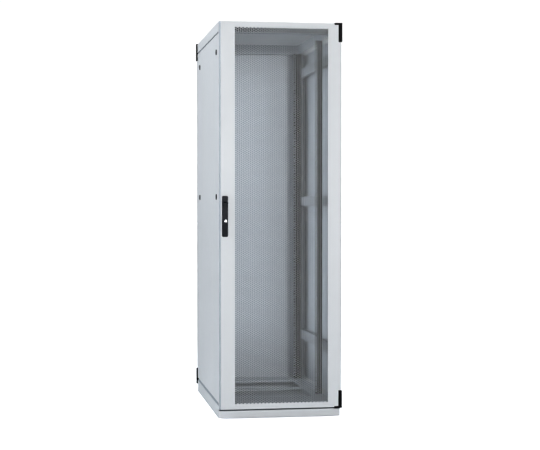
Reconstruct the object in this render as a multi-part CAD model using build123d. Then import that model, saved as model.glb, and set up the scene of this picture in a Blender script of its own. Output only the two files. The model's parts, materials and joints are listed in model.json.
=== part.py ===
from build123d import *
import os
from math import cos, pi, radians, sin, tan

# Network server rack cabinet, 600 x 1000 footprint, 40 units, with a perforated front door and a plain
# rear door. Millimetres. The origin is on the floor under the middle of the cabinet, +X is to the right
# as seen from the front, +Y to the rear and +Z up. The front door hangs on the right. The rear door is
# the same door without its window, turned half a turn about Z, so both doors, their hinges and their
# locks come from one set of functions.

# ---- driving dimensions -------------------------------------------------------------------------
WIDTH = 600.0
DEPTH = 1000.0  # over the two door faces, without the handles
ROOF_TOP = 1918.0
SHEET = 1.5  # folded sheet of the panels, the doors and the roof
TUBE_WALL = 2.0

HALF_W = WIDTH / 2
DOOR_FACE = DEPTH / 2  # |Y| of a door's outer face
DOOR_THICK = 22.0
SEAL_GAP = 4.0  # between a closed door and the body
DOOR_BACK = DOOR_FACE - DOOR_THICK
BODY_FACE = DOOR_BACK - SEAL_GAP  # |Y| of the body's front and rear planes
DOOR_Z = (45.0, 1917.0)
CLEAR = 0.3  # between pieces that move past each other

# bottom frame, top frame, posts
BASE_TOP = 68.0
BASE_EDGE = 58.0  # where the sloping ledge starts on the outside
LEDGE_IN = 5.0
BEAM = 50.0  # front and rear beams, measured along Y
SIDE_IN = 258.0  # inner faces of the side beams and posts
POST_OUT = 286.0
POST_FRONT, POST_BACK = 455.0, 415.0
GROOVE_Z = (35.0, 50.0)  # shadow groove under the door's lower edge
GROOVE_DEEP = 12.0
ROOF_SKIRT = 1870.0  # lower edge of the roof's folded skirt
TOP_FRAME_Z = (1868.0, ROOF_TOP - SHEET)
TOP_BEAM_IN = 430.0

# side panels and their quarter-turn latches
PANEL_Z = (74.0, 1864.0)
PANEL_DEEP = 13.5
PANEL_IN = HALF_W - PANEL_DEEP
LATCH_Y = (-396.0, 345.0)
LATCH_Z = (1778.0, 1073.0)
LATCH_SHANK = 8.0  # radius
LATCH_HEAD = 13.5  # radius
CAM_X = (PANEL_IN - 1.0, PANEL_IN + 2.0)
CAM_REACH = 17.0
BRACE_X = (262.0, 284.0)
BRACE_Z = (-45.0, 5.0)  # below and above the latch axis
LOW_BRACE = 340.0

# nineteen-inch rails
UNIT = 44.45
UNITS = 40
RAIL_FACE = (-222.0, 400.0)  # Y of the front and rear mounting faces
RAIL_INNER = 225.0
RAIL_HOLE_X = 465.1 / 2
RAIL_HOLE = 9.5
RAIL_STEPS = (6.35, 22.225, 38.1)  # holes above each unit's lower line
RAIL_Z = (BASE_TOP + 2.0, TOP_FRAME_Z[0] - 2.0)
FIRST_UNIT = (RAIL_Z[0] + RAIL_Z[1] - UNITS * UNIT) / 2
RAIL_THICK = 2.0
RAIL_LEG = 40.0

# doors: window that the front door's perforated field fills, and the hinges
WINDOW_X = (-232.0, 243.0)
WINDOW_Z = (66.0, 1898.0)
HEM_X, HEM_Z = 284.0, (70.0, 1890.0)  # opening inside the folded hem at the back
PIVOT_X, PIVOT_Y = 297.0, -(DOOR_FACE - 11.0)
HINGE_OUT = 306.0
ARM_X = 268.0
ARM_TOP_Z, ARM_LOW_Z = (1911.0, 1920.0), (40.5, 48.5)
KNUCKLE_TOP_Z, KNUCKLE_LOW_Z = (1828.0, 1910.0), (49.5, 126.0)
PIN_R = 4.0
PIN_REACH = 31.0  # how far a pin stands out of its arm
RUN_FIT = 0.05  # radial clearance of a running fit

# swing handle and rod lock
HANDLE_X = -271.5
HANDLE_HALF = 14.25
HANDLE_Z = (880.0, 1077.0)
SPINDLE_Z = 1058.0
SPINDLE_R = 6.0
LEVER_Z = 1042.0  # lever's pivot
LEVER_Y = -(DOOR_FACE + 7.5)
LEVER_FRONT, LEVER_REAR = -(DOOR_FACE + 13.0), -(DOOR_FACE + 2.3)
KEY_Z = 957.0
KEY_X = HANDLE_X + 2.0
KEY_R = 7.0
MODULE = 1.0
PINION_TEETH = 16
PITCH_R = MODULE * PINION_TEETH / 2
BACKLASH = 0.16  # taken off each side of every tooth
ROD_Y = (-469.5, -464.5)
ROD_HALF = 5.0
ROD_TIP = (85.0, 1851.0)
LOCK_CASE_Z = (1018.0, 1098.0)

# levelling feet, roof and floor
FOOT_X, FOOT_Y = 272.0, 449.0
LIFT_X, LIFT_Y, LIFT_R = 270.0, 451.0, 6.5
PLINTH_X, PLINTH_Y, PLINTH_R = 180.0, 449.0, 6.5
ROOF_ENTRY = ((-140.0, 140.0), (-370.0, -290.0))
FLOOR_Z = (62.0, 64.0)
FLOOR_OPEN_X = 210.0
FLOOR_OPENINGS = ((-250.0, 19.0), (91.0, 300.0))

os.makedirs("parts", exist_ok=True)


# ---- helpers ------------------------------------------------------------------------------------
def span(x, y, z):
    """Block between three (low, high) pairs."""
    size = [high - low for low, high in (x, y, z)]
    middle = [(high + low) / 2 for low, high in (x, y, z)]
    return Pos(*middle) * Box(*size)


def rod_x(radius, x, y, z):
    """Round bar along X."""
    return Pos((x[0] + x[1]) / 2, y, z) * Rot(0, 90, 0) * Cylinder(radius, x[1] - x[0])


def rod_y(radius, x, y, z):
    """Round bar along Y."""
    return Pos(x, (y[0] + y[1]) / 2, z) * Rot(90, 0, 0) * Cylinder(radius, y[1] - y[0])


def rod_z(radius, x, y, z):
    """Round bar along Z."""
    return Pos(x, y, (z[0] + z[1]) / 2) * Cylinder(radius, z[1] - z[0])


def tube(x, y, z, wall, along):
    """Rectangular tube, open at both ends along the named axis."""
    hollow = [pair if axis == along else (pair[0] + wall, pair[1] - wall)
              for axis, pair in zip("xyz", (x, y, z))]
    return span(x, y, z) - span(*hollow)


def prism_xz(points, y):
    """Prism along Y over a polygon of (x, z) points."""
    face = make_face(Polyline(*[(px, 0, pz) for px, pz in points], close=True))
    return Pos(0, y[0], 0) * extrude(face, y[1] - y[0], dir=(0, 1, 0))


def prism_yz(points, x):
    """Prism along X over a polygon of (y, z) points."""
    face = make_face(Polyline(*[(0, py, pz) for py, pz in points], close=True))
    return Pos(x[0], 0, 0) * extrude(face, x[1] - x[0], dir=(1, 0, 0))


def flip(shape):
    """Left-hand copy of a right-hand piece."""
    return mirror(shape, about=Plane.YZ)


def to_rear(shape):
    """The same piece on the rear door: half a turn about Z."""
    return Rot(0, 0, 180) * shape


def upright_edges(shape, x, y):
    """Edges along Z at one place in plan."""
    return [edge for edge in shape.edges().filter_by(Axis.Z)
            if abs(edge.center().X - x) < 0.01 and abs(edge.center().Y - y) < 0.01]


def save(name, *solids):
    """Write one node, as one solid or as a group of separate solids."""
    loose = [solid for shape in solids for solid in shape.solids()]
    export_step(loose[0] if len(loose) == 1 else Compound(children=loose), f"parts/{name}.step")


# ---- body ---------------------------------------------------------------------------------------
def hinge_screws():
    """Centre lines of the hinge bracket screws at the front, as (x, z)."""
    return [(x, z) for x in (275.0, 289.0) for z in (57.5, 1902.0)]


def ledge_cutter(y):
    """Wedge that leaves the sloping ledge along the right-hand lower edge."""
    lip = HALF_W - LEDGE_IN
    return prism_xz([(HALF_W, BASE_EDGE), (HALF_W + 1, BASE_EDGE), (HALF_W + 1, BASE_TOP + 1),
                     (lip - 0.5, BASE_TOP + 1), (lip, BASE_TOP)], y)


def front_base_beam():
    """Front beam of the bottom frame, with its shadow groove, foot guides and plinth holes."""
    y = (-BODY_FACE, -BODY_FACE + BEAM)
    beam = span((-HALF_W, HALF_W), y, (0, BASE_TOP))
    hollow = span((-HALF_W + 8, HALF_W - 8), (y[0] + TUBE_WALL, y[1] - TUBE_WALL),
                  (TUBE_WALL, BASE_TOP - TUBE_WALL))
    groove_y = (y[0], y[0] + GROOVE_DEEP)
    hollow -= span((-HALF_W, HALF_W), (y[0], groove_y[1] + TUBE_WALL),
                   (GROOVE_Z[0] - TUBE_WALL, GROOVE_Z[1] + TUBE_WALL))
    beam -= hollow
    beam -= span((-HALF_W + 5, HALF_W - 5), groove_y, GROOVE_Z)
    ledge = ledge_cutter(y)
    beam = beam - ledge - flip(ledge)
    for side in (-1, 1):
        beam -= rod_z(22, side * FOOT_X, -FOOT_Y, (0, TUBE_WALL))
        beam += rod_z(12, side * FOOT_X, -FOOT_Y, (24, BASE_TOP - TUBE_WALL))
        beam -= rod_z(6 + RUN_FIT, side * FOOT_X, -FOOT_Y, (24, BASE_TOP - TUBE_WALL))
        beam -= rod_z(PLINTH_R, side * PLINTH_X, -PLINTH_Y, (0, TUBE_WALL))
    for x, z in hinge_screws():
        beam -= rod_y(2.5, x, (y[0], y[0] + TUBE_WALL), z)
    return beam


def side_base_beam():
    """Right-hand beam of the bottom frame, with the sloping ledge along its outer edge."""
    y = (-BODY_FACE + BEAM, BODY_FACE - BEAM)
    wall = TUBE_WALL
    lip = HALF_W - LEDGE_IN
    outer = [(SIDE_IN, 0), (HALF_W, 0), (HALF_W, BASE_EDGE), (lip, BASE_TOP), (SIDE_IN, BASE_TOP)]
    inner = [(SIDE_IN + wall, wall), (HALF_W - wall, wall), (HALF_W - wall, BASE_EDGE - wall / 4),
             (lip - 0.75 * wall, BASE_TOP - wall), (SIDE_IN + wall, BASE_TOP - wall)]
    return prism_xz(outer, y) - prism_xz(inner, y)


def bottom_frame():
    front, side = front_base_beam(), side_base_beam()
    save("bottom_frame", front, to_rear(front), side, flip(side))


def top_frame():
    """Ring of four beams under the roof, with clearance holes for lifting eyes."""
    front = tube((-HALF_W + SHEET, HALF_W - SHEET), (-BODY_FACE + SHEET, -TOP_BEAM_IN),
                 TOP_FRAME_Z, TUBE_WALL, "x")
    for side in (-1, 1):
        front -= rod_z(LIFT_R, side * LIFT_X, -LIFT_Y, (TOP_FRAME_Z[1] - TUBE_WALL, TOP_FRAME_Z[1]))
    for x, z in hinge_screws():
        front -= rod_y(2.5, x, (-BODY_FACE + SHEET, -BODY_FACE + SHEET + TUBE_WALL), z)
    side = tube((SIDE_IN, HALF_W - SHEET), (-TOP_BEAM_IN, TOP_BEAM_IN), TOP_FRAME_Z, TUBE_WALL, "y")
    save("top_frame", front, to_rear(front), side, flip(side))


def corner_post():
    """Right front post, a tube with a column of mounting slots in its inner wall."""
    z = (BASE_TOP, TOP_FRAME_Z[0])
    post = tube((SIDE_IN, POST_OUT), (-POST_FRONT, -POST_BACK), z, TUBE_WALL, "z")
    middle = -(POST_FRONT + POST_BACK) / 2
    pitch, slot_w, slot_h = 50.0, 8.0, 14.0
    count = int((z[1] - z[0]) / pitch)
    start = (z[0] + z[1] - (count - 1) * pitch) / 2
    slots = [span((SIDE_IN, SIDE_IN + TUBE_WALL), (middle - slot_w / 2, middle + slot_w / 2),
                  (start + pitch * i - slot_h / 2, start + pitch * i + slot_h / 2))
             for i in range(count)]
    return post - slots


def posts():
    post = corner_post()
    save("front_posts", post, flip(post))
    save("rear_posts", to_rear(post), to_rear(flip(post)))


def brace_levels():
    """Lower and upper edges of the three braces on each side."""
    return [(z + BRACE_Z[0], z + BRACE_Z[1]) for z in (*LATCH_Z, LOW_BRACE)]


def side_braces():
    """Three horizontal tubes on each side, from front post to rear post."""
    tubes = [tube(BRACE_X, (-POST_BACK, POST_BACK), z, SHEET, "y") for z in brace_levels()]
    save("right_braces", *tubes)
    save("left_braces", *[flip(each) for each in tubes])


def latch_catches():
    """Z-shaped catches on the braces: foot, web and lip, one below each latch."""
    catches = []
    for y in LATCH_Y:
        for z in LATCH_Z:
            width = (y - 15, y + 15)
            foot = span((BRACE_X[1], BRACE_X[1] + 2), width, (z - 40, z - 24))
            web = span((BRACE_X[1], BRACE_X[1] + 7.5), width, (z - 26, z - 24))
            lip = span((BRACE_X[1] + 5.5, BRACE_X[1] + 7.5), width, (z - 26, z - CAM_REACH - 1))
            catches.append(foot + web + lip)
    save("latch_catches", *catches, *[flip(each) for each in catches])


def panel_tabs():
    """Tabs on the ledge that carry the side panels' lower edges."""
    tabs = [span((PANEL_IN + 0.5, HALF_W - 6), (y - 20, y + 20), (BASE_TOP, PANEL_Z[0] - 0.4))
            for y in (-380, 380)]
    save("panel_tabs", *tabs, *[flip(tab) for tab in tabs])


def roof_panel():
    """Folded tray over the top frame, with the cable entry and the lifting holes."""
    roof = span((-HALF_W, HALF_W), (-BODY_FACE, BODY_FACE), (ROOF_SKIRT, ROOF_TOP))
    roof = fillet(roof.faces().sort_by(Axis.Z)[-1].edges(), 2.5)
    inner = (-HALF_W + SHEET, HALF_W - SHEET)
    roof -= span(inner, (-BODY_FACE + SHEET, BODY_FACE - SHEET), (ROOF_SKIRT, ROOF_TOP - SHEET))
    roof -= span(*ROOF_ENTRY, (ROOF_TOP - SHEET, ROOF_TOP))
    for x in (-LIFT_X, LIFT_X):
        for y in (-LIFT_Y, LIFT_Y):
            roof -= rod_z(LIFT_R, x, y, (ROOF_TOP - SHEET, ROOF_TOP))
    for x, z in hinge_screws():
        hole = rod_y(2.5, x, (-BODY_FACE, -BODY_FACE + SHEET), z)
        roof = roof - hole - to_rear(hole)
    save("roof_panel", roof)


def roof_cable_trim():
    """Rubber edge strip around the roof's cable entry."""
    (x0, x1), (y0, y1) = ROOF_ENTRY
    rim, lip = 6.0, 6.0
    top = span((x0 - rim, x1 + rim), (y0 - rim, y1 + rim), (ROOF_TOP, ROOF_TOP + 1.8))
    collar = span((x0, x1), (y0, y1), (ROOF_TOP - 5, ROOF_TOP))
    way = span((x0 + lip, x1 - lip), (y0 + lip, y1 - lip), (ROOF_TOP - 5, ROOF_TOP + 1.8))
    save("roof_cable_trim", top + collar - way)


def floor_plate():
    """Bottom sheet between the base beams, with two large rectangular openings."""
    plate = span((-SIDE_IN, SIDE_IN), (-BODY_FACE + BEAM, BODY_FACE - BEAM), FLOOR_Z)
    for y in FLOOR_OPENINGS:
        plate -= span((-FLOOR_OPEN_X, FLOOR_OPEN_X), y, FLOOR_Z)
    save("floor_plate", plate)


def floor_slide():
    """Sliding cover of the rear floor opening, stored open over the rear of the floor plate."""
    y = (FLOOR_OPENINGS[1][1] - 8, BODY_FACE - BEAM - 2)
    z = (FLOOR_Z[1] + CLEAR, FLOOR_Z[1] + CLEAR + SHEET)
    cover = span((-235, 235), y, z)
    upstand = span((-235, 235), (y[0], y[0] + SHEET), (z[0], z[1] + 10))
    save("floor_slide", cover + upstand)


def rack_rail(face, inward):
    """Right-hand rail: mounting flange with three square holes to a unit, and a folded leg."""
    sheet = Rectangle(SIDE_IN + 4 - RAIL_INNER, RAIL_Z[1] - RAIL_Z[0])
    centre_x = (RAIL_INNER + SIDE_IN + 4) / 2
    centre_z = (RAIL_Z[0] + RAIL_Z[1]) / 2
    spots = [(RAIL_HOLE_X - centre_x, FIRST_UNIT + unit * UNIT + step - centre_z)
             for unit in range(UNITS) for step in RAIL_STEPS]
    holes = Sketch() + [Pos(x, z) * Rectangle(RAIL_HOLE, RAIL_HOLE) for x, z in spots]
    flange_low = min(face, face + inward * RAIL_THICK)
    plane = Plane(origin=(centre_x, flange_low + RAIL_THICK, centre_z), x_dir=(1, 0, 0),
                  z_dir=(0, -1, 0))
    flange = extrude(plane * (sheet - holes), RAIL_THICK)
    reach = sorted((face + inward * RAIL_THICK, face + inward * RAIL_LEG))
    leg = span((SIDE_IN + 4 - RAIL_THICK, SIDE_IN + 4), reach, RAIL_Z)
    return flange + leg


def rack_rails():
    for name, face, inward in (("front", RAIL_FACE[0], 1), ("rear", RAIL_FACE[1], -1)):
        rail = rack_rail(face, inward)
        save(f"{name}_rail_right", rail)
        save(f"{name}_rail_left", flip(rail))


def levelling_feet():
    """Screw-down feet, drawn up inside the base beams."""
    foot = rod_z(18, 0, 0, (0.5, 6.5)) + rod_z(6, 0, 0, (6.5, 62))
    for row, y in (("front", -FOOT_Y), ("rear", FOOT_Y)):
        for side, x in (("left", -FOOT_X), ("right", FOOT_X)):
            save(f"foot_{row}_{side}", Pos(x, y, 0) * foot)


def earth_stud():
    """Earthing stud with its nut, on the right-hand base beam."""
    nut = Pos(272, -200, BASE_TOP) * extrude(RegularPolygon(7.5, 6), 6)
    save("earth_stud", nut + rod_z(4, 272, -200, (BASE_TOP, BASE_TOP + 25)))


# ---- side panels --------------------------------------------------------------------------------
def side_panel():
    """Right-hand panel: a folded tray, open to the inside, with its latch holes."""
    panel = span((PANEL_IN, HALF_W), (-BODY_FACE, BODY_FACE), PANEL_Z)
    panel = fillet(panel.faces().sort_by(Axis.X)[-1].edges(), 1.2)
    panel -= span((PANEL_IN, HALF_W - SHEET), (-BODY_FACE + SHEET, BODY_FACE - SHEET),
                  (PANEL_Z[0] + SHEET, PANEL_Z[1] - SHEET))
    for y in LATCH_Y:
        for z in LATCH_Z:
            panel -= rod_x(LATCH_SHANK + RUN_FIT, (HALF_W - SHEET, HALF_W), y, z)
    return panel


def panel_latch():
    """Quarter-turn latch at y = z = 0 on the right: slotted head, shank and hanging cam."""
    head_x = (HALF_W + CLEAR, HALF_W + CLEAR + 3)
    head = rod_x(LATCH_HEAD, head_x, 0, 0)
    head = fillet(head.edges().sort_by(Axis.X)[-1], 1.2)
    head -= span((head_x[1] - 1.6, head_x[1]), (-8, 8), (-1.3, 1.3))
    shank = rod_x(LATCH_SHANK, (CAM_X[1], head_x[0]), 0, 0)
    cam = span(CAM_X, (-7, 7), (-CAM_REACH, 0)) + rod_x(7, CAM_X, 0, 0)
    return head + shank + cam


def side_panels():
    panel, latch = side_panel(), panel_latch()
    save("side_panel_right", panel)
    save("side_panel_left", flip(panel))
    for row, z in zip(("upper", "middle"), LATCH_Z):
        for end, y in zip(("front", "rear"), LATCH_Y):
            placed = Pos(0, y, z) * latch
            save(f"latch_right_{row}_{end}", placed)
            save(f"latch_left_{row}_{end}", flip(placed))


# ---- hinges -------------------------------------------------------------------------------------
def hinge_bracket(arm_z, flange_z, bore_z):
    """Arm that carries the pin, and the flange that screws to the body behind the door."""
    arm = span((ARM_X, HINGE_OUT), (-DOOR_FACE, -BODY_FACE), arm_z)
    arm = fillet(upright_edges(arm, ARM_X, -DOOR_FACE), 10)
    arm = fillet(upright_edges(arm, HINGE_OUT, -DOOR_FACE), 5)
    arm = fillet(upright_edges(arm, HINGE_OUT, -BODY_FACE), 5)
    flange = span((ARM_X, HALF_W - 4), (-BODY_FACE - 2, -BODY_FACE), flange_z)
    bracket = arm + flange
    bracket -= rod_z(PIN_R, PIVOT_X, PIVOT_Y, bore_z)
    middle = (flange_z[0] + flange_z[1]) / 2
    for x, z in hinge_screws():
        if abs(z - middle) < 10:
            bracket -= rod_y(2.5, x, (-BODY_FACE - 2, -BODY_FACE), z)
    return bracket


def hinge_parts():
    """Brackets, pins and screws of both doors, all fixed to the body."""
    upper_bore = (ARM_TOP_Z[0], ARM_TOP_Z[1] - 1)
    lower_bore = (ARM_LOW_Z[0] + 1, ARM_LOW_Z[1])
    upper = hinge_bracket(ARM_TOP_Z, (1893.0, ARM_TOP_Z[0]), upper_bore)
    lower = hinge_bracket(ARM_LOW_Z, (ARM_LOW_Z[1], 66.0), lower_bore)
    pins = [rod_z(PIN_R, PIVOT_X, PIVOT_Y, (upper_bore[0] - PIN_REACH, upper_bore[1])),
            rod_z(PIN_R, PIVOT_X, PIVOT_Y, (lower_bore[0], lower_bore[1] + PIN_REACH))]
    screws = [rod_y(2.5, x, (-BODY_FACE - 2, -BODY_FACE + 9), z)
              + rod_y(4.5, x, (-BODY_FACE - 3.2, -BODY_FACE - 2), z) for x, z in hinge_screws()]
    for name, pieces in (("hinge_brackets", [upper, lower]), ("hinge_pins", pins),
                         ("hinge_screws", screws)):
        save(name, *pieces, *[to_rear(piece) for piece in pieces])


def knuckle(z, bore_z, taper_end):
    """Half-round knuckle with its joggled leaf inside the door, bored for the pin."""
    back = PIVOT_Y + 8
    body = span((PIVOT_X - 9, HINGE_OUT), (-DOOR_FACE, back), z)
    body = fillet(upright_edges(body, PIVOT_X - 9, -DOOR_FACE)
                  + upright_edges(body, HINGE_OUT, -DOOR_FACE), 7)
    body = fillet(upright_edges(body, HINGE_OUT, back), 3)
    ends = body.faces().sort_by(Axis.Z)
    body = fillet((ends[-1] if taper_end > 0 else ends[0]).edges().sort_by(Axis.Y)[0:3], 2.5)
    skin, height = -DOOR_FACE + SHEET, (z[0] + 4, z[1] - 4)
    leaf = span((262, 284), (skin, skin + 3), height) + span((281, 284), (skin, skin + 9), height)
    leaf += span((281, PIVOT_X - 9), (skin + 6, skin + 9), height)
    return body + leaf - rod_z(PIN_R + RUN_FIT, PIVOT_X, PIVOT_Y, bore_z)


# ---- doors --------------------------------------------------------------------------------------
def door_plan(inset, back):
    """Plan of the door's outer wall, inset evenly: a wide radius at the handle side."""
    left, right = -HALF_W + inset, HALF_W - inset
    front = -DOOR_FACE + inset
    wide, tight = 8.0 - inset, 3.0 - inset
    return make_face([
        Line((left, back), (left, front + wide)),
        RadiusArc((left, front + wide), (left + wide, front), wide),
        Line((left + wide, front), (right - tight, front)),
        RadiusArc((right - tight, front), (right, front + tight), tight),
        Line((right, front + tight), (right, back)),
        Line((right, back), (left, back)),
    ])


def door_shell(window):
    """Folded front sheet with its hem, hinge notches and lock cut-out, and a window if it has one."""
    low, high = DOOR_Z
    shell = Pos(0, 0, low) * extrude(door_plan(0, -DOOR_BACK), high - low)
    room = extrude(door_plan(SHEET, -DOOR_BACK - SHEET), high - low - 2 * SHEET)
    shell -= Pos(0, 0, low + SHEET) * room
    shell -= span((-HEM_X, HEM_X), (-DOOR_BACK - SHEET, -DOOR_BACK), HEM_Z)
    if window:
        shell -= span(WINDOW_X, (-DOOR_FACE, -DOOR_FACE + SHEET), WINDOW_Z)
    through = (-DOOR_FACE, -DOOR_BACK)
    arm_side, pin_side = (ARM_X - 1, HALF_W), (PIVOT_X - 10, HALF_W)
    shell -= span(arm_side, through, (ARM_TOP_Z[0] - 1, high))
    shell -= span(pin_side, through, (KNUCKLE_TOP_Z[0] - 1, high))
    shell -= span(arm_side, through, (low, ARM_LOW_Z[1] + 1))
    shell -= span(pin_side, through, (low, KNUCKLE_LOW_Z[1] + 1))
    shell -= span(*lock_cut(), z=lock_cut_z())
    return shell


def lock_cut():
    """Plan of the cut-out for the handle's boss."""
    return (HANDLE_X - 10.75, HANDLE_X + 10.75), (-DOOR_FACE, -DOOR_BACK - SHEET)


def lock_cut_z():
    return SPINDLE_Z - 23, SPINDLE_Z + 14.5


def door_inner_frame():
    """Four tubes behind the door's margins."""
    y = (-DOOR_FACE + SHEET, -DOOR_BACK - SHEET)
    outer, reach = -HALF_W + 8, 262.0
    wall = 1.2
    left = tube((outer, WINDOW_X[0] - 6), y, WINDOW_Z, wall, "z")
    left -= span(*lock_cut(), z=lock_cut_z())
    right = tube((WINDOW_X[1] + 6, HALF_W - 15), y, (KNUCKLE_LOW_Z[1] + 5, KNUCKLE_TOP_Z[0] - 5),
                 wall, "z")
    top = tube((outer, reach), y, (WINDOW_Z[1], DOOR_Z[1] - 3), wall, "x")
    low = tube((outer, reach), y, (DOOR_Z[0] + 3, WINDOW_Z[0]), wall, "x")
    return [left, right, top, low]


def door_seal():
    """Foam strips on the door's back, just clear of the body."""
    y = (-DOOR_BACK, -BODY_FACE - CLEAR)
    side = (HALF_W - 13, HALF_W - 3)
    upper, lower = (1894.0, 1904.0), (55.0, 65.0)
    left = span((-side[1], -side[0]), y, (lower[1], upper[0]))
    right = span(side, y, (lower[1] + 5, upper[0] - 6))
    return [left, right] + [span((-side[1], 262), y, z) for z in (upper, lower)]


def handle_base():
    """Flat escutcheon with the boss that carries the spindle."""
    x = (HANDLE_X - HANDLE_HALF, HANDLE_X + HANDLE_HALF)
    plate = span(x, (-DOOR_FACE - 2, -DOOR_FACE), HANDLE_Z)
    plate = fillet(plate.edges().filter_by(Axis.Y), 6.5)
    plate = fillet(plate.faces().sort_by(Axis.Y)[0].edges(), 0.8)
    cut_x, cut_z = lock_cut()[0], lock_cut_z()
    boss = span((cut_x[0] + 0.2, cut_x[1] - 0.2), (-DOOR_FACE, -DOOR_BACK - 2),
                (cut_z[0] + 0.2, cut_z[1] - 0.2))
    bore = rod_y(SPINDLE_R + RUN_FIT, HANDLE_X, (-DOOR_FACE - 2, -DOOR_BACK - 2), SPINDLE_Z)
    return plate + boss - bore


def pinion_outline():
    """Straight-flanked teeth on the pinion, as (x, z) points round the spindle."""
    tip, root = PITCH_R + MODULE, PITCH_R - 1.25 * MODULE
    half = pi * MODULE / 4 - BACKLASH
    points = []
    for tooth in range(PINION_TEETH):
        # a tooth gap, not a tooth, faces each rack's tooth at the sides
        middle = 2 * pi * (tooth + 0.5) / PINION_TEETH
        for radius, lean in ((root, -1), (tip, -1), (tip, 1), (root, 1)):
            width = half - (radius - PITCH_R) * tan(radians(20))
            angle = middle + lean * width / radius
            points.append((HANDLE_X + radius * cos(angle), SPINDLE_Z + radius * sin(angle)))
    return points


def handle_spindle():
    """Turning head with two ears for the lever, the spindle and its pinion."""
    x = (HANDLE_X - 13.25, HANDLE_X + 13.25)
    head = span(x, (LEVER_FRONT, LEVER_REAR), (LEVER_Z + 5.5, HANDLE_Z[1] - 1))
    head = fillet(head.edges().filter_by(Axis.Y).group_by(Axis.Z)[-1], 6)
    front = head.faces().sort_by(Axis.Y)[0]
    head = fillet(front.edges(), 2.5)
    for ear in ((x[0], x[0] + 5), (x[1] - 5, x[1])):
        head += span(ear, (LEVER_Y - 5, LEVER_Y + 5), (LEVER_Z, LEVER_Z + 6))
        head += rod_x(5, ear, LEVER_Y, LEVER_Z)
    head -= rod_x(2.5 + RUN_FIT, x, LEVER_Y, LEVER_Z)
    shaft = rod_y(SPINDLE_R, HANDLE_X, (LEVER_REAR, ROD_Y[0] - 0.5), SPINDLE_Z)
    pinion = prism_xz(pinion_outline(), (ROD_Y[0] - 0.5, ROD_Y[1] + CLEAR))
    return head + shaft + pinion


def handle_lever():
    """Lever hanging from the head on its own trunnions, thinner towards the fingers."""
    low = HANDLE_Z[0] + 4
    shoulder = LEVER_Z - 6.5
    side = [(LEVER_REAR, low), (LEVER_FRONT + 3.5, low), (LEVER_FRONT, low + 60),
            (LEVER_FRONT, shoulder), (LEVER_REAR, shoulder)]
    x = (HANDLE_X - 12.75, HANDLE_X + 12.75)
    lever = prism_yz(side, x)
    lever = fillet(lever.edges().filter_by(Axis.Y).group_by(Axis.Z)[0], 6)
    front = lever.edges().filter_by(Axis.Y, reverse=True)
    lever = fillet(front.filter_by(lambda edge: edge.center().Y < LEVER_REAR - 3), 2.2)
    lever += span((HANDLE_X - 7.95, HANDLE_X + 7.95), (LEVER_Y - 4.8, LEVER_Y + 4.8),
                  (shoulder - 1, LEVER_Z))
    lever += rod_x(4.8, (HANDLE_X - 7.95, HANDLE_X + 7.95), LEVER_Y, LEVER_Z)
    lever += rod_x(2.5, x, LEVER_Y, LEVER_Z)
    return lever - rod_y(KEY_R + RUN_FIT, KEY_X, (LEVER_FRONT, LEVER_REAR - 1.5), KEY_Z)


def key_plug():
    """Lock plug in the lever, with its keyway."""
    y = (LEVER_FRONT - 0.7, LEVER_REAR - 1.5 - CLEAR)
    plug = rod_y(KEY_R, KEY_X, y, KEY_Z)
    plug = fillet(plug.edges().sort_by(Axis.Y)[0], 0.6)
    return plug - span((KEY_X - 0.9, KEY_X + 0.9), (y[0], y[0] + 4), (KEY_Z - 4, KEY_Z + 4))


def lock_rod(side, tip):
    """Lock rod: a rack beside the pinion, a bridge, and a flat bar out to the tip."""
    up = 1 if tip > SPINDLE_Z else -1
    pitch = pi * MODULE
    line = HANDLE_X + side * PITCH_R
    root, back = line + side * 1.25 * MODULE, line + side * 4.75 * MODULE
    ends = sorted((SPINDLE_Z - up * 8, SPINDLE_Z + up * 30))
    rack = span(sorted((root, back)), ROD_Y, ends)
    half = pitch / 4 - BACKLASH
    narrow, wide = half - tan(radians(20)) * MODULE, half + tan(radians(20)) * 1.25 * MODULE
    for step in range(-2, 6):
        z = SPINDLE_Z + up * step * pitch
        rack += prism_xz([(root, z - wide), (line - side * MODULE, z - narrow),
                          (line - side * MODULE, z + narrow), (root, z + wide)], ROD_Y)
    bridge = span(sorted((back, HANDLE_X - side * ROD_HALF)), ROD_Y,
                  sorted((SPINDLE_Z + up * 27, SPINDLE_Z + up * 37)))
    bar_z = sorted((SPINDLE_Z + up * 37, tip))
    bar = span((HANDLE_X - ROD_HALF, HANDLE_X + ROD_HALF), ROD_Y, bar_z)
    nose = [edge for edge in bar.edges().filter_by(Axis.Y) if abs(edge.center().Z - tip) < 0.1]
    return rack + bridge + chamfer(nose, 3)


def rod_guides():
    """Lock case round the pinion and racks, and the guides along the rods."""
    y = (-DOOR_BACK - SHEET, ROD_Y[1] + CLEAR + SHEET + 0.5)
    case_y = (-DOOR_BACK, y[1])
    case = tube((HANDLE_X - 13.9, HANDLE_X + 13.9), case_y, LOCK_CASE_Z, 0.8, "z")
    case -= rod_y(SPINDLE_R + 0.4, HANDLE_X, (case_y[0], case_y[0] + 0.8), SPINDLE_Z)
    guides = [case]
    slot = ROD_HALF + CLEAR
    for z in (130.0, 450.0, 780.0, 1300.0, 1560.0, 1815.0):
        block = span((HANDLE_X - 9, HANDLE_X + 9), y, (z - 8, z + 8))
        block -= span((HANDLE_X - slot, HANDLE_X + slot), (ROD_Y[0] - CLEAR, ROD_Y[1] + CLEAR),
                      (z - 8, z + 8))
        guides.append(block)
    return guides


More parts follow.
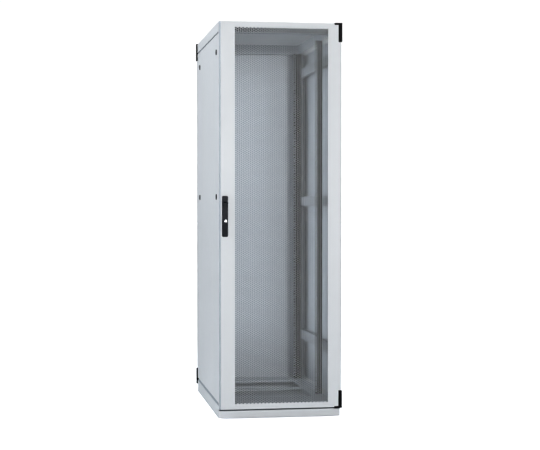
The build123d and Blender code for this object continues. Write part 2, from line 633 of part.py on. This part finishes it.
def rod_keepers():
    """Keepers on the top and bottom frames, in front of the rod tips of both doors."""
    x = (HANDLE_X - 12, HANDLE_X + 12)
    foot_y = (-BODY_FACE + SHEET, -POST_FRONT - 1)
    lip_y = (-BODY_FACE, -BODY_FACE + 3)
    upper = span(x, foot_y, (TOP_FRAME_Z[0] - 3, TOP_FRAME_Z[0]))
    upper += span(x, lip_y, (ROD_TIP[1] + 1, TOP_FRAME_Z[0]))
    lower = span(x, foot_y, (BASE_TOP, BASE_TOP + 3)) + span(x, lip_y, (BASE_TOP, ROD_TIP[0] - 1))
    save("rod_keepers", upper, lower, to_rear(upper), to_rear(lower))


def door_set(name, place, window):
    """Every piece of one door, written in its place. The perforated field fills its window."""
    upper_bore = (ARM_TOP_Z[0] - PIN_REACH - 1, KNUCKLE_TOP_Z[1])
    lower_bore = (KNUCKLE_LOW_Z[0], ARM_LOW_Z[1] + PIN_REACH + 1)
    pieces = {
        "door_shell": [door_shell(window)],
        "door_inner_frame": door_inner_frame(),
        "door_seal": door_seal(),
        "door_knuckles": [knuckle(KNUCKLE_TOP_Z, upper_bore, -1),
                          knuckle(KNUCKLE_LOW_Z, lower_bore, 1)],
        "handle_base": [handle_base()],
        "handle_spindle": [handle_spindle()],
        "handle_lever": [handle_lever()],
        "key_plug": [key_plug()],
        "upper_rod": [lock_rod(-1, ROD_TIP[1])],
        "lower_rod": [lock_rod(1, ROD_TIP[0])],
        "rod_guides": rod_guides(),
    }
    if window:
        pieces["door_mesh"] = [span(WINDOW_X, (-DOOR_FACE, -DOOR_FACE + SHEET), WINDOW_Z)]
    for piece, solids in pieces.items():
        save(f"{name}_{piece}", *[place(solid) for solid in solids])


bottom_frame()
top_frame()
posts()
side_braces()
latch_catches()
panel_tabs()
roof_panel()
roof_cable_trim()
floor_plate()
floor_slide()
rack_rails()
levelling_feet()
earth_stud()
side_panels()
hinge_parts()
rod_keepers()
door_set("front", lambda shape: shape, window=True)
door_set("rear", to_rear, window=False)
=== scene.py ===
"""Looks of the network server rack cabinet: perforated door sheet, materials, studio and camera.

Everything is in metres in the cabinet's own frame: +X to the right seen from the front, +Y to the
rear, +Z up, with the origin on the floor under the middle. Places come from the CAD nodes' boxes.
"""

import json
from math import cos, radians, sin, sqrt

import bpy
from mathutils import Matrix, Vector

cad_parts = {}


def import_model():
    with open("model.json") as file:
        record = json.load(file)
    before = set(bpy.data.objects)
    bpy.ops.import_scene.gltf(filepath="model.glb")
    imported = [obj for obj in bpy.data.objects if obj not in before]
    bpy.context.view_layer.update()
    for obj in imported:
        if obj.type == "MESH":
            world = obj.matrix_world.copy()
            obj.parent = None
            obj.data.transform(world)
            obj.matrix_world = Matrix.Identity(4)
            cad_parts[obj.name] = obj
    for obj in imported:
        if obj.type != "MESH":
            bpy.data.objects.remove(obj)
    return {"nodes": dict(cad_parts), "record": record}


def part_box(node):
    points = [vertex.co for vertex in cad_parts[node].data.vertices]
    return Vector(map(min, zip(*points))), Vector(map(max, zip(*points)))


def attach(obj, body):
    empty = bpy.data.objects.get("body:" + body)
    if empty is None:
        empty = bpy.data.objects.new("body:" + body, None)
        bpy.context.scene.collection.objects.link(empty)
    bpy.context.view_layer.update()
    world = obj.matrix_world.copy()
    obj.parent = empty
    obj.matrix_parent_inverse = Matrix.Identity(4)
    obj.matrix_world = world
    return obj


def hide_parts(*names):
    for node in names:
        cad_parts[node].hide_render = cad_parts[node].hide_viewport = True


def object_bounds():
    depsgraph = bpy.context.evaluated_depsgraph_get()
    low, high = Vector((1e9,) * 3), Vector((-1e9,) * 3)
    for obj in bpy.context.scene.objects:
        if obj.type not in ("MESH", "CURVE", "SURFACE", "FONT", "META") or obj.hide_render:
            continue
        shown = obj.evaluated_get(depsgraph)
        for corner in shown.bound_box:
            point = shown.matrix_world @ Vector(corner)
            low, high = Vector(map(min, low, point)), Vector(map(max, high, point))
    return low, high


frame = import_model()
cad_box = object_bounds()

MM = 0.001

# ---- camera and view --------------------------------------------------------------------------
CAMERA_AT = Vector((-1.0760, -6.8189, 1.0492))
CAMERA_YAW = 9.204  # degrees to the right of +Y
CAMERA_DOWN = 1.006  # degrees below the horizon
LENS_MM, SENSOR_MM = 88.16, 36.0
VIEW_GAMMA = 0.62  # opens the contrast between the lit outside and the shaded inside

# ---- perforated field of the front door ---------------------------------------------------------
HOLE_PITCH = 10.35 * MM  # between neighbours in a column
HOLE_ACROSS = 8.90 * MM  # across the flats of a hexagonal hole
HOLE_COLUMNS = 51
HOLE_ROWS = 176  # in the first column and every second one; the others hold one fewer
FIELD_MIDDLE = (5.5 * MM, 981.0 * MM)  # X and Z of the field's middle
BANDS = 4  # level bands, one mesh each
SIDES = 6
POINTS_PER_METRE = 1e7  # corners nearer than a tenth of a micrometre are one point


# ---- small helpers ------------------------------------------------------------------------------
def new_object(name, mesh):
    piece = bpy.data.objects.new(name, mesh)
    bpy.context.scene.collection.objects.link(piece)
    return piece


def mesh_from(name, points, faces):
    mesh = bpy.data.meshes.new(name)
    mesh.from_pydata(points, [], faces)
    mesh.update()
    return mesh


# ---- materials ----------------------------------------------------------------------------------
MIX_FIRST, MIX_SECOND, MIX_RESULT = 6, 7, 2  # a Mix node's colour sockets
PEEL, PEEL_FINE = 0.12 * MM, 0.03 * MM  # heights of a powder coat's waves
BLACK_GRAIN, DRAWN_LINES, PORES = 0.08 * MM, 0.02 * MM, 0.3 * MM
EDGE_WEAR = 0.7 * MM  # radius of the rub on a black piece's edges
SHADE_STEP = 0.2 * MM  # over which the full colour gives way to the painted shade of the inside faces


class Paint:
    """A Principled material whose colour, roughness and bump are worked out by nodes."""

    def __init__(self, name):
        self.material = bpy.data.materials.new(name)
        self.material.use_nodes = True
        self.tree = self.material.node_tree
        self.shader = self.tree.nodes["Principled BSDF"]
        self.place = self.tree.nodes.new("ShaderNodeTexCoord").outputs["Object"]

    def node(self, kind, **values):
        made = self.tree.nodes.new(kind)
        for key, value in values.items():
            setattr(made, key, value)
        return made

    def link(self, source, target):
        self.tree.links.new(source, target)

    def constants(self, **values):
        """Set the shader's own sockets, such as Metallic or Coat_Weight."""
        for key, value in values.items():
            self.shader.inputs[key.replace("_", " ")].default_value = value

    def noise(self, scale, detail=2.0, stretch=None):
        """Noise over the piece, at scale features per metre, stretched if asked."""
        place = self.place
        if stretch is not None:
            mapping = self.node("ShaderNodeMapping")
            mapping.inputs["Scale"].default_value = stretch
            self.link(place, mapping.inputs["Vector"])
            place = mapping.outputs["Vector"]
        made = self.node("ShaderNodeTexNoise")
        made.inputs["Scale"].default_value = scale
        made.inputs["Detail"].default_value = detail
        self.link(place, made.inputs["Vector"])
        return made.outputs["Fac"]

    def ranged(self, source, low, high, start=0.3, end=0.7):
        """Map a noise value to a range of its own."""
        made = self.node("ShaderNodeMapRange")
        values = {"From Min": start, "From Max": end, "To Min": low, "To Max": high}
        for key, value in values.items():
            made.inputs[key].default_value = value
        self.link(source, made.inputs["Value"])
        return made.outputs["Result"]

    def mixed(self, factor, first, second):
        """Colour between two colours or sockets."""
        made = self.node("ShaderNodeMix", data_type="RGBA")
        self.link(factor, made.inputs["Factor"])
        for place, value in ((MIX_FIRST, first), (MIX_SECOND, second)):
            socket = made.inputs[place]
            if isinstance(value, tuple):
                socket.default_value = (*value, 1.0)
            else:
                self.link(value, socket)
        return made.outputs[MIX_RESULT]

    def colour(self, source):
        self.link(source, self.shader.inputs["Base Color"])

    def roughness(self, source):
        self.link(source, self.shader.inputs["Roughness"])

    def bump(self, height, strength, distance, below=None):
        made = self.node("ShaderNodeBump")
        made.inputs["Strength"].default_value = strength
        made.inputs["Distance"].default_value = distance
        self.link(height, made.inputs["Height"])
        if below is not None:
            self.link(below, made.inputs["Normal"])
        self.link(made.outputs["Normal"], self.shader.inputs["Normal"])
        return made.outputs["Normal"]

    def beyond(self, reach, blend):
        """0 in the box of half sizes X, Y and top Z given in reach, and 1 outside it."""
        apart = self.node("ShaderNodeSeparateXYZ")
        self.link(self.place, apart.inputs[0])
        most = None
        for axis, limit in zip("XYZ", reach):
            size = self.node("ShaderNodeMath", operation="ABSOLUTE")
            self.link(apart.outputs[axis], size.inputs[0])
            part = self.ranged(size.outputs[0], 0.0, 1.0, limit - blend, limit)
            if most is not None:
                larger = self.node("ShaderNodeMath", operation="MAXIMUM")
                self.link(most, larger.inputs[0])
                self.link(part, larger.inputs[1])
                part = larger.outputs[0]
            most = part
        return most

    def rubbed_edges(self, radius, low=0.02, high=0.25):
        """0 on flat faces, rising towards 1 on the outer edges, where handling thins the coat."""
        rounded = self.node("ShaderNodeBevel", samples=4)
        rounded.inputs["Radius"].default_value = radius
        flat = self.node("ShaderNodeNewGeometry").outputs["Normal"]
        match = self.node("ShaderNodeVectorMath", operation="DOT_PRODUCT")
        self.link(rounded.outputs["Normal"], match.inputs[0])
        self.link(flat, match.inputs[1])
        return self.ranged(match.outputs["Value"], 1.0, 0.0, 1 - high, 1 - low)


def powder_coat(name, light, dark, roughness, outer=None, shade_factor=1.0, grain=620.0, depth=0.16):
    """Fine-textured powder coat: orange peel, faint clouding and an uneven sheen.

    With outer, only faces beyond that box have the full colour. Faces inside it get a darker grey
    that is painted shade, and shade_factor below 1 darkens that painted shade further.
    """
    paint = Paint(name)
    paint.constants(Metallic=0.0, Specular_IOR_Level=0.34)
    cloudy = paint.ranged(paint.noise(2.2, 3.0), 0.0, 1.0)
    coat = paint.mixed(cloudy, light, dark)
    if outer is not None:
        # faces inside the box get a darker grey: painted shade standing for the shade inside the
        # cabinet
        inner = tuple(value * shade_factor for value in PAINTED_SHADE_GREY)
        inner_low = tuple(value * shade_factor for value in PAINTED_SHADE_GREY_LOW)
        inside = paint.mixed(cloudy, inner, inner_low)
        coat = paint.mixed(paint.beyond(outer, SHADE_STEP), inside, coat)
    paint.colour(coat)
    paint.roughness(paint.ranged(paint.noise(35.0, 4.0), roughness - 0.05, roughness + 0.05))
    peel = paint.bump(paint.noise(grain, 2.0), depth, PEEL)
    paint.bump(paint.noise(grain * 4, 1.0), depth * 0.5, PEEL_FINE, below=peel)
    return paint.material


def black_coat(name, dark, worn, roughness, grain, depth):
    """Black coat or moulding with a fine grain, a little greyer where edges are handled."""
    paint = Paint(name)
    paint.constants(Metallic=0.0, Specular_IOR_Level=0.22)
    cloudy = tuple(value * 1.35 for value in dark)
    base = paint.mixed(paint.ranged(paint.noise(40.0, 3.0), 0.0, 1.0), dark, cloudy)
    paint.colour(paint.mixed(paint.rubbed_edges(EDGE_WEAR), base, worn))
    paint.roughness(paint.ranged(paint.noise(180.0, 3.0), roughness - 0.06, roughness + 0.06))
    paint.bump(paint.noise(grain, 3.0), depth, BLACK_GRAIN)
    return paint.material


def plated(name, tone, cast, roughness, stretch, depth):
    """Plated metal with drawn lines along one axis and a faint cast in the passivation."""
    paint = Paint(name)
    paint.constants(Metallic=1.0)
    paint.colour(paint.mixed(paint.ranged(paint.noise(28.0, 3.0), 0.0, 1.0), tone, cast))
    lines = paint.noise(900.0, 2.0, stretch=stretch)
    paint.roughness(paint.ranged(lines, roughness - 0.07, roughness + 0.09))
    paint.bump(lines, depth, DRAWN_LINES)
    return paint.material


def soft_black(name, dark, grey, roughness, cells, depth):
    """Foam or rubber: open-looking cells over a dull black."""
    paint = Paint(name)
    paint.constants(Metallic=0.0, Specular_IOR_Level=0.3)
    paint.colour(paint.mixed(paint.ranged(paint.noise(90.0, 4.0), 0.0, 1.0), dark, grey))
    paint.roughness(paint.ranged(paint.noise(300.0, 2.0), roughness - 0.05, roughness + 0.05))
    pores = paint.node("ShaderNodeTexVoronoi", feature="F1")
    pores.inputs["Scale"].default_value = cells
    paint.link(paint.place, pores.inputs["Vector"])
    paint.bump(pores.outputs["Distance"], depth, PORES)
    return paint.material


LIGHT_GREY, LIGHT_GREY_LOW = (0.768, 0.779, 0.788), (0.748, 0.761, 0.772)
# darker grey of the inside faces: painted shade for the shaded interior, not a second paint
PAINTED_SHADE_GREY, PAINTED_SHADE_GREY_LOW = (0.440, 0.468, 0.500), (0.425, 0.454, 0.488)
EVEN, ALONG_Z = (1.0, 1.0, 1.0), (1.0, 1.0, 0.02)  # stretches of a plated piece's lines
FULL_COLOUR_BOX = (299.3 * MM, 499.3 * MM, 1916.4 * MM)  # outer faces of the doors, side panels and roof; faces inside this box get painted shade
OUTER_FRAME = (299.3 * MM, 473.3 * MM, 1916.4 * MM)  # outer faces of the bottom frame; faces inside this box get painted shade

finishes = {
    "powder_coat": powder_coat("powder_coat_light_grey", LIGHT_GREY, LIGHT_GREY_LOW, 0.50,
                               FULL_COLOUR_BOX),
    "frame_paint": powder_coat("frame_light_grey", LIGHT_GREY, LIGHT_GREY_LOW, 0.55, OUTER_FRAME),
    "panels": powder_coat("panel_light_grey", LIGHT_GREY, LIGHT_GREY_LOW, 0.50, OUTER_FRAME),
    # the roof's inside faces, among them its front skirt behind the mesh's top rows, get painted
    # shadow at 0.30 of the painted shade grey
    "roof": powder_coat("roof_light_grey", LIGHT_GREY, LIGHT_GREY_LOW, 0.50, FULL_COLOUR_BOX, 0.30),
    # the braces' painted shade is darkened further to 0.68, to hold down their lamp-lit patches
    # seen through the mesh
    "braces": powder_coat("brace_grey", LIGHT_GREY, LIGHT_GREY_LOW, 0.55, OUTER_FRAME, 0.68),
    "perforated": powder_coat("perforated_light_grey", LIGHT_GREY, LIGHT_GREY_LOW, 0.50),
    "rail_black": black_coat("rail_satin_black", (0.010, 0.010, 0.012), (0.024, 0.024, 0.026),
                             0.52, 900.0, 0.20),
    "hinge_black": black_coat("hinge_black_coat", (0.007, 0.007, 0.008), (0.022, 0.022, 0.024),
                              0.48, 700.0, 0.22),
    "handle_black": black_coat("handle_moulded_black", (0.028, 0.031, 0.038), (0.048, 0.051, 0.058),
                               0.46, 1100.0, 0.16),
    "chrome": plated("plug_chrome", (0.80, 0.80, 0.80), (0.76, 0.77, 0.78), 0.16, EVEN, 0.03),
    "zinc": plated("zinc_plate", (0.60, 0.61, 0.62), (0.56, 0.58, 0.56), 0.36, ALONG_Z, 0.15),
    "seal_foam": soft_black("seal_foam", (0.016, 0.016, 0.017), (0.026, 0.026, 0.027),
                            0.86, 900.0, 0.5),
    "edge_rubber": soft_black("edge_rubber", (0.012, 0.012, 0.012), (0.020, 0.020, 0.020),
                              0.62, 1500.0, 0.12),
}

# Nodes whose inside faces take their painted shade from another box or factor than their slot's
# material.
finish_of = {"side_panel_left": "panels", "side_panel_right": "panels", "roof_panel": "roof",
             "left_braces": "braces", "right_braces": "braces"}


def finish_cad_nodes():
    """Give every CAD node its procedural finish, and keep its slot from the record."""
    for row in frame["record"]["subparts"]:
        node, slot = frame["nodes"][row["node"]], row["material_slot"]
        node.data.materials.clear()
        node.data.materials.append(finishes[finish_of.get(row["node"], slot)])


# ---- perforated sheet ---------------------------------------------------------------------------
def hexagon(radius):
    """Corners round the origin, with two flats level."""
    turns = [radians(60 * i) for i in range(SIDES)]
    return [(radius * cos(turn), radius * sin(turn)) for turn in turns]


class Outline:
    """Flat faces over shared points, thickened into a closed sheet at the end."""

    def __init__(self):
        self.points, self.index, self.faces = [], {}, []

    def point(self, x, z):
        key = (round(x * POINTS_PER_METRE), round(z * POINTS_PER_METRE))
        if key not in self.index:
            self.index[key] = len(self.points)
            self.points.append((x, z))
        return self.index[key]

    def face(self, *corners):
        self.faces.append([self.point(x, z) for x, z in corners])

    def sheet(self, front, back):
        """Points and faces of the closed sheet between two Y planes."""
        count = len(self.points)
        points = [(x, front, z) for x, z in self.points] + [(x, back, z) for x, z in self.points]
        edges = {}
        for face in self.faces:
            for a, b in zip(face, face[1:] + face[:1]):
                edges[(a, b)] = None
        rim = [edge for edge in edges if (edge[1], edge[0]) not in edges]
        faces = [list(face) for face in self.faces]
        faces += [[corner + count for corner in reversed(face)] for face in self.faces]
        faces += [[b, a, a + count, b + count] for a, b in rim]
        return points, faces


def perforated_band(rows, low, high, first_row, last_row):
    """Outline of one level band of the field: cells, and the plain margins around them."""
    cell, hole = hexagon(HOLE_PITCH / sqrt(3)), hexagon(HOLE_ACROSS / sqrt(3))
    step = HOLE_PITCH * sqrt(3) / 2
    x0 = FIELD_MIDDLE[0] - step * (HOLE_COLUMNS - 1) / 2
    z0 = FIELD_MIDDLE[1] - HOLE_PITCH * (rows - 1) / 2
    half = HOLE_PITCH / 2
    band = Outline()
    for column in range(HOLE_COLUMNS):
        short = column % 2
        for row in range(first_row, min(last_row, rows - short)):
            x, z = x0 + column * step, z0 + row * HOLE_PITCH + short * half
            for i in range(SIDES):
                after = (i + 1) % SIDES
                corners = (cell[i], cell[after], hole[after], hole[i])
                band.face(*((x + across, z + up) for across, up in corners))
    reach, corner = cell[0][0], cell[1][0]
    for side, edge in ((-1, low.x), (1, high.x)):
        x = x0 if side < 0 else x0 + (HOLE_COLUMNS - 1) * step
        for row in range(first_row, last_row):
            z = z0 + row * HOLE_PITCH
            zigzag = [(corner, z - half), (reach, z), (corner, z + half)]
            for a, b in zip(zigzag, zigzag[1:]):
                strip = [(x + side * a[0], a[1]), (x + side * b[0], b[1])]
                strip += [(edge, b[1]), (edge, a[1])]
                band.face(*(strip if side < 0 else strip[::-1]))
    for up, reached, edge in ((-1, first_row == 0, low.z), (1, last_row == rows, high.z)):
        if not reached:
            continue
        end = z0 - half if up < 0 else z0 + (rows - 1) * HOLE_PITCH + half
        line = []
        for column in range(HOLE_COLUMNS):
            x, z = x0 + column * step, end - up * half * (column % 2)
            line += [(x - corner, z), (x + corner, z)]
        line = [(low.x, end), *line, (high.x, end)]
        for a, b in zip(line, line[1:]):
            strip = [a, b, (b[0], edge), (a[0], edge)]
            band.face(*(strip[::-1] if up < 0 else strip))
    return band


def perforated_sheet(node, body):
    """The door's perforated field, in a few level bands that stand for one punched sheet."""
    low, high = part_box(node)
    cuts = [round(HOLE_ROWS * i / BANDS) for i in range(BANDS + 1)]
    for i in range(BANDS):
        band = perforated_band(HOLE_ROWS, low, high, cuts[i], cuts[i + 1])
        points, faces = band.sheet(low.y, high.y)
        mesh = mesh_from(f"{node}_{i + 1}", points, faces)
        piece = new_object(f"{node}_perforated_{i + 1}", mesh)
        piece.data.materials.append(finishes["perforated"])
        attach(piece, body)
        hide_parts(node)


# ---- studio -------------------------------------------------------------------------------------
FLOOR_REACH = 60.0  # half its side
FLOOR_BELOW = 0.5 * MM  # under the feet, so that the faces do not meet
# width over which the floor's painted shadow under the cabinet fades into the glow
FOOTPRINT_SHADOW_BLEND = 50 * MM
WHITE, BLUISH, FAINT_BLUE = (1.0, 1.0, 1.0), (0.93, 0.97, 1.0), (0.96, 0.98, 1.0)


def floor():
    """Plain pale floor: the eye sees it nearly shadowless but for a painted shadow under the
    cabinet, and it gives back only soft light.
    """
    size = FLOOR_REACH
    corners = [(-size, -size, 0), (size, -size, 0), (size, size, 0), (-size, size, 0)]
    made = new_object("floor", mesh_from("floor", corners, [[0, 1, 2, 3]]))
    paint = Paint("floor_pale")
    paint.constants(Base_Color=(0.575, 0.60, 0.63, 1.0), Roughness=0.9, Specular_IOR_Level=0.1)
    glow = paint.node("ShaderNodeEmission")
    seen = paint.node("ShaderNodeLightPath").outputs["Is Camera Ray"]
    lit = paint.node("ShaderNodeMath", operation="MULTIPLY")
    paint.link(seen, lit.inputs[0])
    # painted shadow: the glow the eye sees is left out under the cabinet's footprint and fades in
    # at its edges
    paint.link(paint.beyond((cad_box[1].x, cad_box[1].y), FOOTPRINT_SHADOW_BLEND), lit.inputs[1])
    paint.link(lit.outputs[0], glow.inputs["Strength"])
    both = paint.node("ShaderNodeAddShader")
    paint.link(glow.outputs[0], both.inputs[0])
    paint.link(paint.shader.outputs[0], both.inputs[1])
    paint.link(both.outputs[0], paint.tree.nodes["Material Output"].inputs["Surface"])
    made.data.materials.append(paint.material)
    made.location.z = -FLOOR_BELOW


def soft_box(name, at, target, size, power, colour, spread=180):
    """Rectangular light; its power is in watts and its spread in degrees."""
    data = bpy.data.lights.new(name, "AREA")
    data.shape = "RECTANGLE"
    data.size, data.size_y = size
    data.energy, data.color, data.spread = power, colour, radians(spread)
    made = new_object(name, data)
    made.location = at
    made.rotation_euler = (Vector(target) - Vector(at)).to_track_quat("-Z", "Y").to_euler()
    made.visible_camera = False


def world(seen, ambient):
    """White surroundings: brighter to the eye than the soft light that they give."""
    made = bpy.data.worlds.new("studio")
    made.use_nodes = True
    tree = made.node_tree
    tree.nodes.clear()
    output = tree.nodes.new("ShaderNodeOutputWorld")
    mix = tree.nodes.new("ShaderNodeMixShader")
    path = tree.nodes.new("ShaderNodeLightPath")
    fill = tree.nodes.new("ShaderNodeBackground")
    fill.inputs["Color"].default_value = (0.97, 0.985, 1.0, 1.0)
    fill.inputs["Strength"].default_value = ambient
    white = tree.nodes.new("ShaderNodeBackground")
    white.inputs["Color"].default_value = (1.0, 1.0, 1.0, 1.0)
    white.inputs["Strength"].default_value = seen
    tree.links.new(path.outputs["Is Camera Ray"], mix.inputs[0])
    tree.links.new(fill.outputs[0], mix.inputs[1])
    tree.links.new(white.outputs[0], mix.inputs[2])
    tree.links.new(mix.outputs[0], output.inputs["Surface"])
    bpy.context.scene.world = made


def camera():
    data = bpy.data.cameras.new("camera")
    data.lens, data.sensor_width, data.sensor_fit = LENS_MM, SENSOR_MM, "HORIZONTAL"
    data.clip_start, data.clip_end = 0.1, 200.0
    made = new_object("camera", data)
    made.location = CAMERA_AT
    made.rotation_euler = (radians(90 - CAMERA_DOWN), 0, -radians(CAMERA_YAW))
    bpy.context.scene.camera = made


def studio():
    """Lamps round the cabinet, and two inside it that lift its walls as seen through the mesh."""
    floor()
    world(seen=1.05, ambient=0.08)
    soft_box("key", (0.35, -6.0, 1.84), (0, 0, 1.05), (0.12, 0.12), 214.0, WHITE)
    soft_box("side_soft", (-5.0, -0.5, 3.0), (-0.3, 0, 1.0), (1.6, 1.6), 236.0, FAINT_BLUE)
    soft_box("right_soft", (5.0, 0.8, 2.6), (0.3, 0, 1.0), (1.6, 1.6), 12.0, BLUISH, 45)
    soft_box("back_soft", (1.6, 6.0, 1.45), (0.1, 0.5, 1.0), (0.8, 0.8), 16.0, WHITE, 45)
    soft_box("roof_soft", (0.1, 0.6, 5.5), (0, 0, 1.9), (0.8, 0.8), 3.0, WHITE, 30)
    soft_box("inner_side", (-0.255, 0.06, 1.0), (0.3, 0.06, 1.0), (0.6, 1.7), 3.0, BLUISH, 70)
    soft_box("inner_rear", (-0.03, -0.40, 1.05), (-0.04, 0.5, 1.0), (0.30, 1.6), 0.85, BLUISH, 40)


# ---- everything ---------------------------------------------------------------------------------
view = bpy.context.scene.view_settings
view.view_transform = "Standard"
view.gamma = VIEW_GAMMA

camera()
studio()
finish_cad_nodes()
perforated_sheet("front_door_mesh", "front_door")
